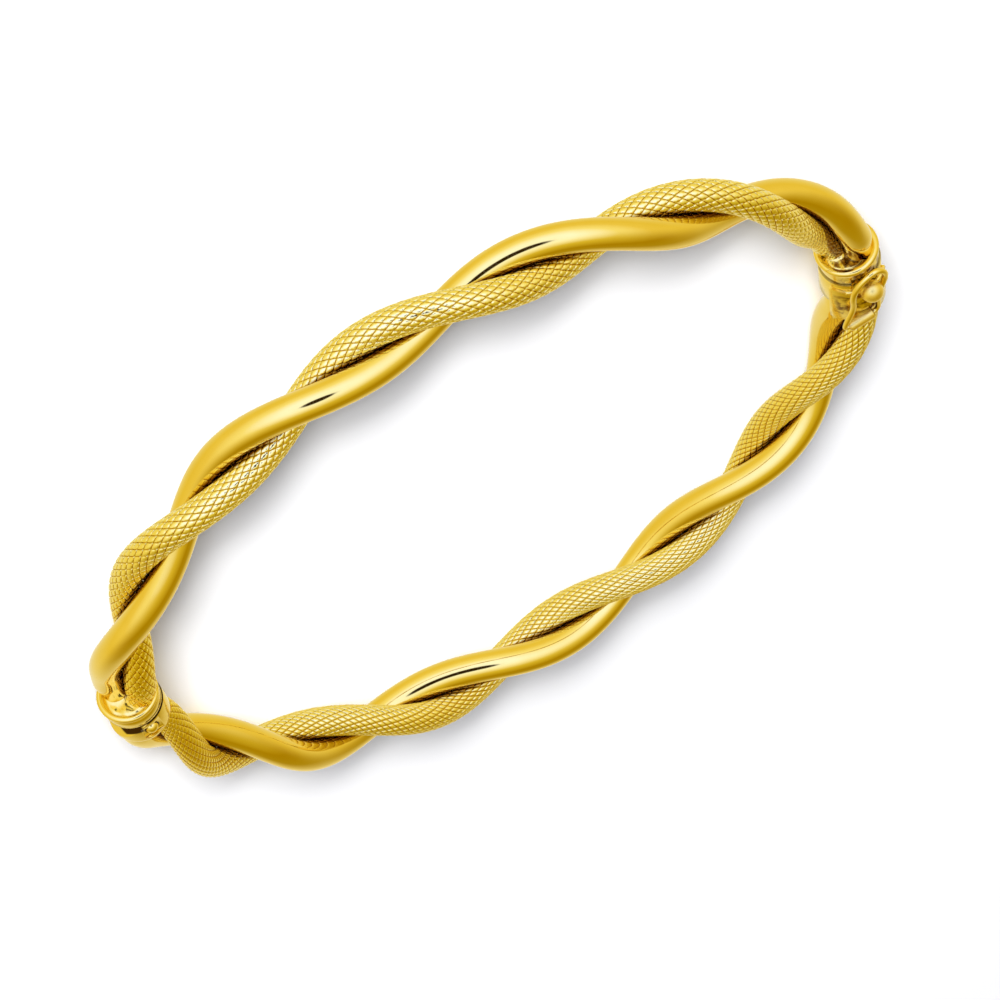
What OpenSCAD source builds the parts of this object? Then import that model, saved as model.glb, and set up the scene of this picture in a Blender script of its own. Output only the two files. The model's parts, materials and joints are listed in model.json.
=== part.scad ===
// Hinged oval bangle of twisted tubes. Each half is a smooth tube and a textured tube laid round
// each other, held at one end by the hinge and at the other by a box clasp with a safety wire.
// Millimetres. The origin is in the wrist opening, midway between the hinge end and the clasp end
// of the tubes' centre line. +X points to the clasp, +Y to the half with the spring tongue and
// +Z up, with the bangle lying on its side.

/* [Oval] */
// Length of the centre line's oval, from the hinge end to the clasp end
oval_length = 62; // [56:0.5:68]
// Rise of the tongue half's centre line above the line from hinge to clasp
tongue_rise = 25.4; // [23:0.2:28]
// Rise of the box half's centre line on the other side
box_rise = 27.2; // [24:0.2:29]
// How far the widest place lies towards the hinge
crown_shift = 1.8; // [0:0.1:3]

/* [Tubes] */
// Diameter of each tube
tube_d = 2.34; // [2:0.02:2.5]
// Gap between the two tubes of a half
tube_gap = 0.03; // [0.02:0.01:0.08]
// Turns of the twist in the tongue half
tongue_turns = 3.57; // [2.5:0.01:4.5]
// Turns of the twist in the box half
box_turns = 3.94; // [2.5:0.01:4.5]
// Angle of the smooth tube round the centre line, at the middle of the tongue half
tongue_turn_at_middle = -185; // [-360:1:360]
// Angle of the smooth tube round the centre line, at the middle of the box half
box_turn_at_middle = 75; // [-360:1:360]
// Length at each end over which the twist dies out
straight_run = 6; // [4:0.5:8]
// Length in which the twist falls to a third there
twist_decay = 2.2; // [1.5:0.1:3]
// Length outside a cup or cap over which a tube narrows
squeeze_run = 1.8; // [1.5:0.1:3]
// Size left at the ends of the tongue half's tubes, which enter the cups
cup_squeeze = 0.77; // [0.7:0.01:0.78]
// Size left at the ends of the box half's tubes, which meet the caps
cap_squeeze = 0.94; // [0.85:0.01:0.96]
// Sides of each tube
tube_sides = 14; // [10:1:16]
// Rings along each tube
tube_rings = 64; // [40:1:80]

/* [Hinge] */
// Outer radius of the hinge cup's rolled rim
hinge_rim_r = 2.35; // [2.3:0.01:2.5]
// Height of the hinge cup's rim above the line from hinge to clasp
hinge_rim_y = 1.85; // [1.7:0.05:2.4]
// Distance of the pin's axis inward from the centre line's end
pin_inset = 0.2; // [0:0.05:0.4]
// Distance of the pin's axis from the line from hinge to clasp, on the box half's side
pin_drop = 0.8; // [0.6:0.05:1]
// Diameter of the hinge pin
pin_d = 0.8; // [0.7:0.02:0.9]
// Radius of the pin's domed head
pin_head_r = 0.52; // [0.48:0.01:0.6]
// Running clearance of the knuckle on the pin
pin_clearance = 0.05; // [0.02:0.01:0.08]
// Radius of the cap's ears round the pin
ear_r = 1.2; // [1.15:0.05:1.3]
// Radius of the knuckle round the pin
knuckle_r = 0.95; // [0.9:0.01:1]
// Width of the knuckle along the pin
knuckle_w = 1.4; // [1.2:0.05:1.6]
// Gap between the hinge's moving faces
hinge_gap = 0.1; // [0.06:0.01:0.15]
// Widest opening of the hinge, in degrees
hinge_range = 40; // [30:1:42]
// Radius of the hinge cap
hinge_cap_r = 2.3; // [2.2:0.01:2.4]
// Length of the hinge cap below the line from hinge to clasp
hinge_cap_len = 2.4; // [2.3:0.05:2.8]
// Rounding of the hinge cap's edge
hinge_cap_round = 0.45; // [0.3:0.05:0.5]
// Height of the flats that the pin's ends sit on
pin_flat_z = 2.02; // [1.9:0.02:2.1]

/* [Cups] */
// Radius of the roll on the cups' rims
roll_r = 0.2; // [0.18:0.01:0.21]
// Step from the rim in to the cup's wall
rim_step = 0.13; // [0.1:0.01:0.2]
// Depth of the dish in each cup
dish_depth = 0.75; // [0.6:0.05:0.8]
// Gap between a tube's end and the face that it meets
seat_gap = 0.04; // [0.02:0.01:0.08]
// Outer radius of the clasp cup's rolled rim
clasp_rim_r = 2.45; // [2.35:0.01:2.5]
// Height of the clasp cup's rim above the line from hinge to clasp
clasp_rim_y = 1.2; // [1.1:0.05:1.5]

/* [Clasp box] */
// Depth of the box's mouth below the line from hinge to clasp
mouth_y = 0.45; // [0.4:0.05:0.6]
// Gap between the box's mouth and the clasp cup's face
mouth_gap = 0.1; // [0.06:0.01:0.15]
// Radius of the box's sleeve
sleeve_r = 2.35; // [2.3:0.01:2.4]
// Length of the box's sleeve
sleeve_len = 2.75; // [2.6:0.05:3]
// Lean of the box towards the wrist, following the oval
box_lean = 7; // [6:0.5:8]
// Width of the box's cavity
cavity_w = 2.7; // [2.4:0.05:2.8]
// Height of the cavity's floor
cavity_low = -0.7; // [-0.9:0.05:-0.5]
// Height of the cavity's ceiling
cavity_high = 1.35; // [1.3:0.01:1.4]
// Length of the cavity
cavity_len = 2.5; // [2.4:0.05:2.6]
// How far the lip at the mouth reaches below the ceiling
lip_drop = 0.25; // [0.2:0.01:0.3]
// Length of the lip
lip_len = 0.3; // [0.25:0.01:0.35]
// Thickness of the saddle plate that carries the barrel
saddle_t = 0.25; // [0.22:0.01:0.3]
// Step between the sleeve and the underside of the saddle plate behind it
saddle_relief = 0.08; // [0.06:0.01:0.1]
// Distance of the saddle plate's edge from the box's mouth
saddle_start = 0.75; // [0.6:0.05:0.9]
// Distance of the saddle plate's far edge from the box's mouth
saddle_end = 4.55; // [4.4:0.05:4.8]
// Angle of the saddle plate's outer edge round the tube
saddle_from = 36; // [25:1:45]
// Angle of the saddle plate's inner edge round the tube
saddle_to = 158; // [145:1:165]

/* [Spring tongue] */
// Width of the tongue and its leaf
tongue_w = 2; // [1.8:0.05:2.1]
// Thickness of the tongue
tongue_t = 0.3; // [0.25:0.01:0.35]
// Length of the tongue from the clasp cup's face
tongue_len = 2.35; // [2.2:0.05:2.4]
// Height of the tongue's top face
tongue_top = 0.35; // [0.25:0.05:0.4]
// Depth of the tongue's root in the clasp cup
root_len = 0.35; // [0.2:0.05:0.4]
// Thickness of the leaf
leaf_t = 0.25; // [0.2:0.01:0.28]
// Slope of the leaf at rest, in degrees
leaf_slope = 18; // [16:0.5:19]
// Length of the leaf from its fold
leaf_len = 1.8; // [1.7:0.05:1.85]
// Gap between the fold and the tongue
fold_gap = 0.05; // [0.03:0.01:0.08]
// Radius of the thumb ball
ball_r = 0.77; // [0.7:0.01:0.8]
// Distance of the ball below the line from hinge to clasp
ball_y = 1; // [0.95:0.01:1.1]
// Height of the ball's centre
ball_z = 3.05; // [3:0.01:3.15]
// Radius of the ball's neck
neck_r = 0.28; // [0.22:0.01:0.3]
// Clearance of the neck in its slot
slot_clearance = 0.14; // [0.1:0.01:0.2]
// Height of the flat under the ball
ball_flat_z = 1.95; // [1.85:0.01:2]
// Clearance of that flat round the ball
ball_clearance = 0.25; // [0.2:0.01:0.3]

/* [Safety wire] */
// Diameter of the safety wire
wire_d = 0.4; // [0.36:0.01:0.44]
// Clearance of the wire in the barrel
barrel_clearance = 0.05; // [0.03:0.01:0.08]
// Outer diameter of the barrel
barrel_d = 0.8; // [0.76:0.01:0.84]
// Length of the barrel
barrel_len = 2.1; // [2:0.05:2.2]
// Play of the wire at each end of the barrel
barrel_play = 0.09; // [0.08:0.01:0.15]
// Distance of the barrel from the box's mouth
barrel_from_mouth = 4.05; // [3.9:0.05:4.2]
// Angle of the barrel round the tube
barrel_angle = 107; // [100:1:112]
// How deep the barrel is soldered into the saddle plate
barrel_sink = 0.06; // [0.04:0.01:0.08]
// Reach of the safety wire from the barrel's axis
wire_reach = 5.2; // [5:0.05:5.4]
// Half the width of the wire's loop round the ball
loop_half_w = 1.42; // [1.3:0.01:1.5]
// Half the width of the wire at its waist
waist_half_w = 1.12; // [1:0.01:1.2]
// Sideways lean of the wire for each millimetre of reach
wire_lean = 0.37; // [0.3:0.01:0.42]
// Bend radius of the wire beside the barrel
wire_bend = 0.3; // [0.25:0.01:0.35]

/* [Hidden] */
$fn = 64;
eps = 0.01;
gold = [0.85, 0.66, 0.2];
dark_gold = [0.72, 0.53, 0.12];

tube_r = tube_d / 2;
tube_offset = tube_r + tube_gap / 2;
end_x = oval_length / 2;
arc_steps = 120;

pin_x = -end_x + pin_inset;
pin_y = -pin_drop;
hinge_face_y = pin_y + ear_r + hinge_gap;
neck_half_w = knuckle_r * 0.8;
clasp_face_y = -mouth_y + mouth_gap;

leaf_fold_y = clasp_face_y - tongue_len + leaf_t / 2;
leaf_fold_z = tongue_top + fold_gap + leaf_t / 2;
slot_half_w = neck_r + slot_clearance;

wire_r = wire_d / 2;
wire_facet_share = 0.98;
barrel_bore_r = wire_r + barrel_clearance;
barrel_out = sleeve_r + saddle_t + barrel_d / 2 - barrel_sink;

// A place on the leaning box: distance from the mouth, radius and angle round the tube
function on_box(from_mouth, r, a) = [
  end_x - from_mouth * sin(box_lean) + r * cos(a) * cos(box_lean),
  -mouth_y - from_mouth * cos(box_lean) - r * cos(a) * sin(box_lean),
  r * sin(a)];
barrel_at = on_box(barrel_from_mouth, barrel_out, barrel_angle);

// Centre line of a half: t runs from 180 at the hinge to 0 at the clasp
function on_oval(t, rise) = [end_x * cos(t) - crown_shift * pow(sin(t), 2), rise * sin(t)];

// Table of arc length from the hinge against t
function arc_table(rise) =
  let (p = [for (i = [0:arc_steps]) on_oval(180 - i * 180 / arc_steps, rise)])
  [for (i = 0, s = 0; i <= arc_steps;
        s = s + norm(p[min(i + 1, arc_steps)] - p[i]), i = i + 1) [s, 180 - i * 180 / arc_steps]];

// Length that has twisted between the middle of a half and w, dying out near the ends
function twisted(w, len) =
  let (m = abs(w), full = len / 2 - straight_run)
  sign(w) * (m < full ? m : full + twist_decay * (1 - exp((full - m) / twist_decay)));

// Share of its full size that a tube has at s. mouths holds how far from the hinge end and from
// the clasp end the tube is at its narrowest
function size_at(s, len, squeeze, mouths) =
  let (d = min(s - mouths[0], len - s - mouths[1]) / squeeze_run)
  1 - (1 - squeeze) * (1 + cos(180 * min(max(d, 0), 1))) / 2;

// Middle of a tube at arc length s. side is 1 for the tongue half and -1 for the box half
function tube_point(s, table, rise, side, turns, middle, squeeze, mouths) =
  let (len = table[arc_steps][0],
       t = lookup(s, table),
       c = on_oval(t, side * rise),
       d = [end_x * sin(t) + crown_shift * sin(2 * t), -side * rise * cos(t)],
       out = side * [-d[1], d[0]] / norm(d),
       a = middle + side * 360 * turns / len * twisted(s - len / 2, len),
       o = tube_offset * size_at(s, len, squeeze, mouths))
  [c[0] + o * cos(a) * out[0], c[1] + o * cos(a) * out[1], o * sin(a)];

// Rings of points round a path. radii holds a radius for each point of the path, and ends the
// directions that its two end faces are square to
function rings(path, radii, sides, ends) =
  let (n = len(path) - 1)
  [for (i = [0:n])
    let (along = i == 0 ? ends[0] : i == n ? ends[1] : path[i + 1] - path[i - 1],
         u = cross([0, 0, 1], along) / norm(cross([0, 0, 1], along)),
         v = cross(along, u) / norm(along))
    for (j = [0:sides - 1])
      path[i] + radii[i] * (cos(360 * j / sides) * u + sin(360 * j / sides) * v)];

function ring_faces(count, sides) = concat(
  [[for (j = [0:sides - 1]) j]],
  [for (i = [0:count - 2], j = [0:sides - 1])
    let (a = i * sides + j, b = i * sides + (j + 1) % sides) [a, a + sides, b]],
  [for (i = [0:count - 2], j = [0:sides - 1])
    let (a = i * sides + j, b = i * sides + (j + 1) % sides) [b, a + sides, b + sides]],
  [[for (j = [sides - 1:-1:0]) (count - 1) * sides + j]]);

// A round bar swept along a path
module sweep(path, radii, sides, ends) {
  polyhedron(points = rings(path, radii, sides, ends), faces = ring_faces(len(path), sides));
}

// A tube of one half. ends holds the heights of its end faces above or below the line from hinge
// to clasp, at the hinge and at the clasp
module tube(rise, side, turns, middle, squeeze, ends, mouths) {
  table = arc_table(rise);
  len = table[arc_steps][0];
  last = tube_rings - 1;
  stations = [for (i = [0:last]) ends[0] + (len - ends[1] - ends[0]) * i / last];
  sweep([for (i = [0:last])
           let (p = tube_point(stations[i], table, rise, side, turns, middle, squeeze, mouths))
           [p[0], i == 0 ? side * ends[0] : i == last ? side * ends[1] : p[1], p[2]]],
        [for (s = stations) tube_r * size_at(s, len, squeeze, mouths)],
        tube_sides, [[0, side, 0], [0, -side, 0]]);
}

module tongue_half_tube(turn) {
  tube(tongue_rise, 1, tongue_turns, tongue_turn_at_middle + turn, cup_squeeze,
       [hinge_rim_y - dish_depth + seat_gap, clasp_rim_y - dish_depth + seat_gap],
       [hinge_rim_y + roll_r, clasp_rim_y + roll_r]);
}

module box_half_tube(turn) {
  ends = [hinge_cap_len + seat_gap, mouth_y + sleeve_len + seat_gap];
  tube(box_rise, -1, box_turns, box_turn_at_middle + turn, cap_squeeze, ends, ends);
}

// Points of an arc, in degrees
function arc(c, r, from, to, n) =
  [for (i = [0:n]) c + r * [cos(from + (to - from) * i / n), sin(from + (to - from) * i / n)]];

// A turned shape whose axis lies along Y: profile points are [radius, height along Y]
module turned(profile) {
  rotate([-90, 0, 0]) rotate_extrude() polygon(profile);
}

// A cup with a rolled rim and a dish, from face_y up to its rim
module cup(rim_r, rim_y, face_y) {
  wall_r = rim_r - rim_step;
  roll_at = rim_r - roll_r;
  dish_r = roll_at - roll_r * 0.7;
  turned(concat(
    [[0, face_y], [wall_r, face_y], [wall_r, rim_y - roll_r]],
    arc([roll_at, rim_y], roll_r, -50, 180, 14),
    [[dish_r, rim_y - dish_depth], [0, rim_y - dish_depth]]));
}

module smooth_tube_tongue_half() {
  color(gold) tongue_half_tube(0);
}

module textured_tube_tongue_half() {
  color(dark_gold) tongue_half_tube(180);
}

module smooth_tube_box_half() {
  color(gold) box_half_tube(0);
}

module textured_tube_box_half() {
  color(dark_gold) box_half_tube(180);
}

// Cup on the tongue half's hinge end, with the knuckle that turns on the pin
module hinge_cup() {
  color(gold) difference() {
    union() {
      translate([-end_x, 0, 0]) cup(hinge_rim_r, hinge_rim_y, hinge_face_y);
      translate([pin_x, pin_y, -knuckle_w / 2]) cylinder(r = knuckle_r, h = knuckle_w);
      translate([pin_x - neck_half_w, pin_y, -knuckle_w / 2])
        cube([2 * neck_half_w, hinge_face_y + roll_r - pin_y, knuckle_w]);
    }
    translate([pin_x, pin_y, -knuckle_w]) cylinder(d = pin_d + 2 * pin_clearance, h = 2 * knuckle_w);
  }
}

// Cap on the box half's hinge end: two ears round a slot, bevelled on the outer side so that
// the cup can swing over them
module hinge_cap() {
  slot_w = knuckle_w + 2 * hinge_gap;
  slot_r = knuckle_r + hinge_gap;
  slot_neck = neck_half_w + hinge_gap;
  bevel = hinge_range + 5;
  far = 2 * hinge_cap_r;
  color(gold) difference() {
    intersection() {
      translate([-end_x, 0, 0]) turned(concat(
        [[0, -hinge_cap_len]],
        arc([hinge_cap_r - hinge_cap_round, -hinge_cap_len + hinge_cap_round], hinge_cap_round, -90, 0, 6),
        [[hinge_cap_r, far], [0, far]]));
      translate([pin_x, pin_y, -far]) linear_extrude(2 * far)
        polygon(concat(
          [[far, -far], [far, ear_r]],
          arc([0, 0], ear_r, 90, 90 + bevel, 8),
          [ear_r * [cos(90 + bevel), sin(90 + bevel)] - far * [cos(bevel), sin(bevel)], [-far, -2 * far]]));
    }
    // slot for the knuckle, opened on the side that the cup swings to
    translate([pin_x, pin_y, -slot_w / 2]) cylinder(r = slot_r, h = slot_w);
    translate([pin_x, pin_y, -slot_w / 2]) linear_extrude(slot_w)
      polygon([[slot_neck, 0], [slot_neck, far], [-far, far],
               far * [-sin(hinge_range), cos(hinge_range)] - slot_neck * [cos(hinge_range), sin(hinge_range)],
               -slot_neck * [cos(hinge_range), sin(hinge_range)]]);
    // flats for the pin's ends, and the pin's bore
    for (low = [pin_flat_z, -pin_flat_z - far])
      translate([pin_x - ear_r * 0.8, pin_y - ear_r * 0.8, low]) cube([ear_r * 1.6, far, far]);
    translate([pin_x, pin_y, -far]) cylinder(d = pin_d + seat_gap, h = 2 * far);
  }
}

// Pin through the ears and the knuckle, with a domed head at each end
module hinge_pin() {
  head_low = pin_flat_z + seat_gap / 2;
  dome_h = pin_head_r * 0.75;
  sphere_r = (pin_head_r * pin_head_r + dome_h * dome_h) / (2 * dome_h);
  color(gold) translate([pin_x, pin_y, 0]) {
    translate([0, 0, -head_low - eps]) cylinder(d = pin_d, h = 2 * head_low + 2 * eps);
    for (up = [0, 1]) mirror([0, 0, up]) intersection() {
      translate([0, 0, head_low + dome_h - sphere_r]) sphere(r = sphere_r);
      translate([0, 0, head_low]) cylinder(r = pin_head_r, h = 1);
    }
  }
}

// Room that the thumb ball needs when it is pressed
module ball_room() {
  half = ball_r + ball_clearance;
  translate([end_x - half, -ball_y - half, ball_flat_z]) cube([2 * half, 2 * half + ball_clearance, 3]);
}

// Cup on the tongue half's clasp end
module clasp_cup() {
  color(gold) difference() {
    translate([end_x, 0, 0]) cup(clasp_rim_r, clasp_rim_y, clasp_face_y);
    intersection() {
      ball_room();
      translate([end_x, clasp_rim_y - roll_r - 10, 0]) rotate([-90, 0, 0]) cylinder(r = 6, h = 10);
    }
    translate([end_x - tongue_w / 2 - seat_gap, clasp_face_y - 1, tongue_top - tongue_t - seat_gap])
      cube([tongue_w + 2 * seat_gap, 1 + root_len + seat_gap, tongue_t + 2 * seat_gap]);
  }
}

// Fixed blade of the spring tongue, rooted in the clasp cup
module clasp_tongue() {
  color(gold) difference() {
    translate([end_x - tongue_w / 2, clasp_face_y - tongue_len, tongue_top - tongue_t])
      cube([tongue_w, tongue_len + root_len, tongue_t]);
    // corners taken off the tip so that it finds the mouth
    for (s = [-1, 1])
      translate([end_x + s * tongue_w / 2, clasp_face_y - tongue_len, 0]) rotate([0, 0, 45])
        cube([0.4, 0.4, 3], center = true);
  }
}

// Springing leaf of the tongue, with the thumb ball on its neck
module thumb_leaf() {
  color(gold) {
    translate([end_x, leaf_fold_y, leaf_fold_z]) {
      rotate([0, 90, 0]) cylinder(d = leaf_t, h = tongue_w, center = true);
      rotate([leaf_slope, 0, 0]) translate([-tongue_w / 2, 0, -leaf_t / 2])
        cube([tongue_w, leaf_len, leaf_t]);
    }
    translate([end_x, -ball_y, leaf_fold_z + (-ball_y - leaf_fold_y) * tan(leaf_slope)])
      cylinder(r = neck_r, h = ball_z - leaf_fold_z - (-ball_y - leaf_fold_y) * tan(leaf_slope));
    translate([end_x, -ball_y, ball_z]) sphere(r = ball_r);
  }
}

// The box's own leaning frame: the origin in its mouth, -Y along its axis
module leaning() {
  translate([end_x, -mouth_y, 0]) rotate([0, 0, -box_lean]) children();
}

// A round bar along the box's axis, between two distances from its mouth
module box_bar(r, from, to) {
  leaning() translate([0, -to, 0]) rotate([-90, 0, 0]) cylinder(r = r, h = to - from);
}

// Half space on the far side of a plane across the box, at a distance from its mouth
module beyond(distance) {
  translate([end_x - 10, -mouth_y - distance - 20, -10]) cube(20);
}

// Solid sector over the sleeve and the tubes behind it, which the saddle plate is cut from
module saddle() {
  reach = 2 * sleeve_r;
  intersection() {
    box_bar(sleeve_r + saddle_t, saddle_start, saddle_end);
    leaning() rotate([90, 0, 0]) linear_extrude(2 * saddle_end)
      polygon([for (a = [0, saddle_from, (saddle_from + saddle_to) / 2, saddle_to])
        a == 0 ? [0, 0] : reach * [cos(a), sin(a)]]);
  }
}

// Box on the box half's clasp end, with the saddle plate and the barrel soldered to it
module clasp_box() {
  ceiling_up = 5;
  color(gold) difference() {
    union() {
      intersection() {
        union() {
          box_bar(sleeve_r, -1, sleeve_len + 1);
          saddle();
        }
        beyond(0);
      }
      translate(barrel_at) rotate([0, 90, 0]) cylinder(d = barrel_d, h = barrel_len, center = true);
    }
    // end of the sleeve, and the room for the tubes under the saddle plate
    intersection() {
      box_bar(sleeve_r + saddle_relief, 0, saddle_end + 1);
      beyond(sleeve_len);
    }
    // cavity behind the lip, and the mouth
    translate([end_x - cavity_w / 2, -mouth_y - cavity_len, cavity_low])
      cube([cavity_w, cavity_len - lip_len, cavity_high - cavity_low]);
    translate([end_x - cavity_w / 2, -mouth_y - lip_len - eps, cavity_low])
      cube([cavity_w, lip_len + 1, cavity_high - lip_drop - cavity_low]);
    // slot for the ball's neck, open at the mouth
    translate([end_x, -ball_y - slot_clearance, cavity_high - lip_drop - eps])
      cylinder(r = slot_half_w, h = ceiling_up);
    translate([end_x - slot_half_w, -ball_y - slot_clearance, cavity_high - lip_drop - eps])
      cube([2 * slot_half_w, 3, ceiling_up]);
    ball_room();
    translate(barrel_at) rotate([0, 90, 0])
      cylinder(r = barrel_bore_r, h = barrel_len + 1, center = true);
  }
}

// One side of the wire from beside the barrel to the loop: [across, reach] for side -1 or 1
axle_half = barrel_len / 2 + barrel_play;
wire_corner = concat([[axle_half - wire_r, 0]],
  [for (i = [0:3]) [axle_half + wire_bend * sin(30 * i), wire_bend * (1 - cos(30 * i))]]);
wire_loop_at = wire_reach - loop_half_w;
wire_side = [for (i = [1:14])
  let (v = wire_bend + (wire_loop_at - wire_bend) * i / 14,
       open = axle_half + wire_bend,
       blend = i / 14,
       wide = open + (loop_half_w - open) * blend,
       pinch = (wide - waist_half_w) * (1 - cos(360 * blend)) / 2)
  [wide - pinch, v]];
wire_half = concat(wire_corner, wire_side,
  [for (i = [1:7]) [loop_half_w * cos(90 * i / 7), wire_loop_at + loop_half_w * sin(90 * i / 7)]]);
wire_path = concat(
  [for (p = wire_half) [-p[0], p[1]]],
  [for (i = [len(wire_half) - 2:-1:0]) wire_half[i]]);

// Safety wire: a loop over the ball, with an axle that turns in the barrel
module safety_wire() {
  color(gold) translate(barrel_at) {
    rotate([0, 90, 0]) cylinder(r = wire_r, h = 2 * axle_half, center = true);
    sweep([for (p = wire_path) [p[0] + wire_lean * p[1], p[1], 0]],
          [for (p = wire_path) wire_r * wire_facet_share], 8, [[-1, 0, 0], [-1, 0, 0]]);
  }
}

smooth_tube_tongue_half();
textured_tube_tongue_half();
hinge_cup();
clasp_cup();
clasp_tongue();
thumb_leaf();
smooth_tube_box_half();
textured_tube_box_half();
hinge_cap();
hinge_pin();
clasp_box();
safety_wire();
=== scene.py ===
# Hinged oval bangle of twisted tubes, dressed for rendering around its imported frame
import json
import math

import bpy
import numpy as np
from mathutils import Matrix, Vector, noise

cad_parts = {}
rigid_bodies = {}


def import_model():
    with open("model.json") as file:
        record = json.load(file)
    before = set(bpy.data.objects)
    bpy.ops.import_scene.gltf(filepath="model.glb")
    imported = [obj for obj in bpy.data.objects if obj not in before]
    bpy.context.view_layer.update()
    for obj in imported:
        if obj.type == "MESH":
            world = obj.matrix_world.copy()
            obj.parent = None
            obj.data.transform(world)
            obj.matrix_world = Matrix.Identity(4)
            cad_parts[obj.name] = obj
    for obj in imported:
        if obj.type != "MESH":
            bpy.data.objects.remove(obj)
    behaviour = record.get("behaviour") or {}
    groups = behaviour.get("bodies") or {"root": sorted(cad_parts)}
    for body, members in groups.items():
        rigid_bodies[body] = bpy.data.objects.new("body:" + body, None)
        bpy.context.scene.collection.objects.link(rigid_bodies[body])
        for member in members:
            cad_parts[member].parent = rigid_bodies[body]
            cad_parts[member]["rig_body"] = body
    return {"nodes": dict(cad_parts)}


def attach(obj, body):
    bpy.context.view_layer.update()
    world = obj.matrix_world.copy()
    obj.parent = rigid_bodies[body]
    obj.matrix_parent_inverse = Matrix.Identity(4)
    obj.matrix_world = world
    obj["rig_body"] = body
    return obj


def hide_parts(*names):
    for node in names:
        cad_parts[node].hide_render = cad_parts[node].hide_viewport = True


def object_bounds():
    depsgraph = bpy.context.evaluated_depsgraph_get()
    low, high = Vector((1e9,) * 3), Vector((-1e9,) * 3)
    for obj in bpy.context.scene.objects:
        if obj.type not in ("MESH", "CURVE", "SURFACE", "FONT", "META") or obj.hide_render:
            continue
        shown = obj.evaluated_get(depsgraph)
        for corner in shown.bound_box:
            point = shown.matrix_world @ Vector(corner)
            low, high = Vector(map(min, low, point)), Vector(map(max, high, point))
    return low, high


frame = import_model()
cadBox = [list(corner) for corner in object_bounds()]
mm = 0.001

# The bangle's own sizes in millimetres, the same as those of the frame
oval = dict(length=62, tongueRise=25.4, boxRise=27.2, crownShift=1.8)
strand = dict(radius=1.17, smoothRadius=1.19, offset=1.185, straightRun=6, twistDecay=2.2, squeezeRun=1.8)
hinge = dict(rimRadius=2.35, rimHeight=1.85, faceHeight=0.5, pinX=-30.8, pinY=-0.8, capLength=2.4)
clasp = dict(rimRadius=2.45, rimHeight=1.2, faceHeight=-0.35, mouth=-0.45, sleeveLength=2.75, lean=7)
cupRoll = dict(radius=0.2, dishDepth=0.75, seatGap=0.04)
tiny = dict(merge=0.001, tubeMerge=0.0005, cut=0.0001)  # how near points count as one
end = oval["length"] / 2


def deselectAll():
    if bpy.context.object and bpy.context.object.mode != "OBJECT":
        bpy.ops.object.mode_set(mode="OBJECT")
    bpy.ops.object.select_all(action="DESELECT")


def makeActive(piece):
    deselectAll()
    piece.select_set(True)
    bpy.context.view_layer.objects.active = piece


def editMesh(piece, select="SELECT"):
    makeActive(piece)
    bpy.ops.object.mode_set(mode="EDIT")
    bpy.ops.mesh.select_all(action=select)


def backToObject():
    bpy.ops.object.mode_set(mode="OBJECT")


def namePiece(name):
    piece = bpy.context.object
    piece.name = name
    piece.data.name = name
    return piece


def vertexPlaces(piece):
    places = np.empty(len(piece.data.vertices) * 3)
    piece.data.vertices.foreach_get("co", places)
    return places.reshape(-1, 3)


def moveVertices(piece, places):
    piece.data.vertices.foreach_set("co", places.ravel())
    piece.data.update()


def applyPlace(piece):
    makeActive(piece)
    bpy.ops.object.transform_apply(location=True, rotation=True, scale=True)


def smoothPiece(piece, angle=40):
    makeActive(piece)
    bpy.ops.object.shade_smooth_by_angle(angle=math.radians(angle))


# Camera, from the photograph's side and rolled as the photograph is
view = dict(place=(-26.37, 337.46, 177.29), target=(-0.425, -0.783, 1.443), roll=145.87, lens=187.5)


def placeCamera():
    data = bpy.data.cameras.new("camera")
    data.lens = view["lens"]
    data.sensor_width = 36
    data.clip_start = 0.01
    data.clip_end = 10
    camera = bpy.data.objects.new("camera", data)
    bpy.context.scene.collection.objects.link(camera)
    place = Vector(view["place"]) * mm
    aim = (Vector(view["target"]) * mm - place).to_track_quat("-Z", "Y")
    camera.location = place
    camera.rotation_euler = (aim.to_matrix() @ Matrix.Rotation(math.radians(view["roll"]), 3, "Z")).to_euler()
    bpy.context.scene.camera = camera


placeCamera()
print("camera placed")


class Signal:
    # a socket of a material that can be used in sums
    def __init__(self, recipe, socket):
        self.recipe = recipe
        self.socket = socket

    def sum(self, operation, first, second):
        return self.recipe.node("ShaderNodeMath", {"operation": operation}, {0: first, 1: second})

    def __add__(self, other):
        return self.sum("ADD", self, other)

    def __radd__(self, other):
        return self.sum("ADD", other, self)

    def __sub__(self, other):
        return self.sum("SUBTRACT", self, other)

    def __rsub__(self, other):
        return self.sum("SUBTRACT", other, self)

    def __mul__(self, other):
        return self.sum("MULTIPLY", self, other)

    def __rmul__(self, other):
        return self.sum("MULTIPLY", other, self)


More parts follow.
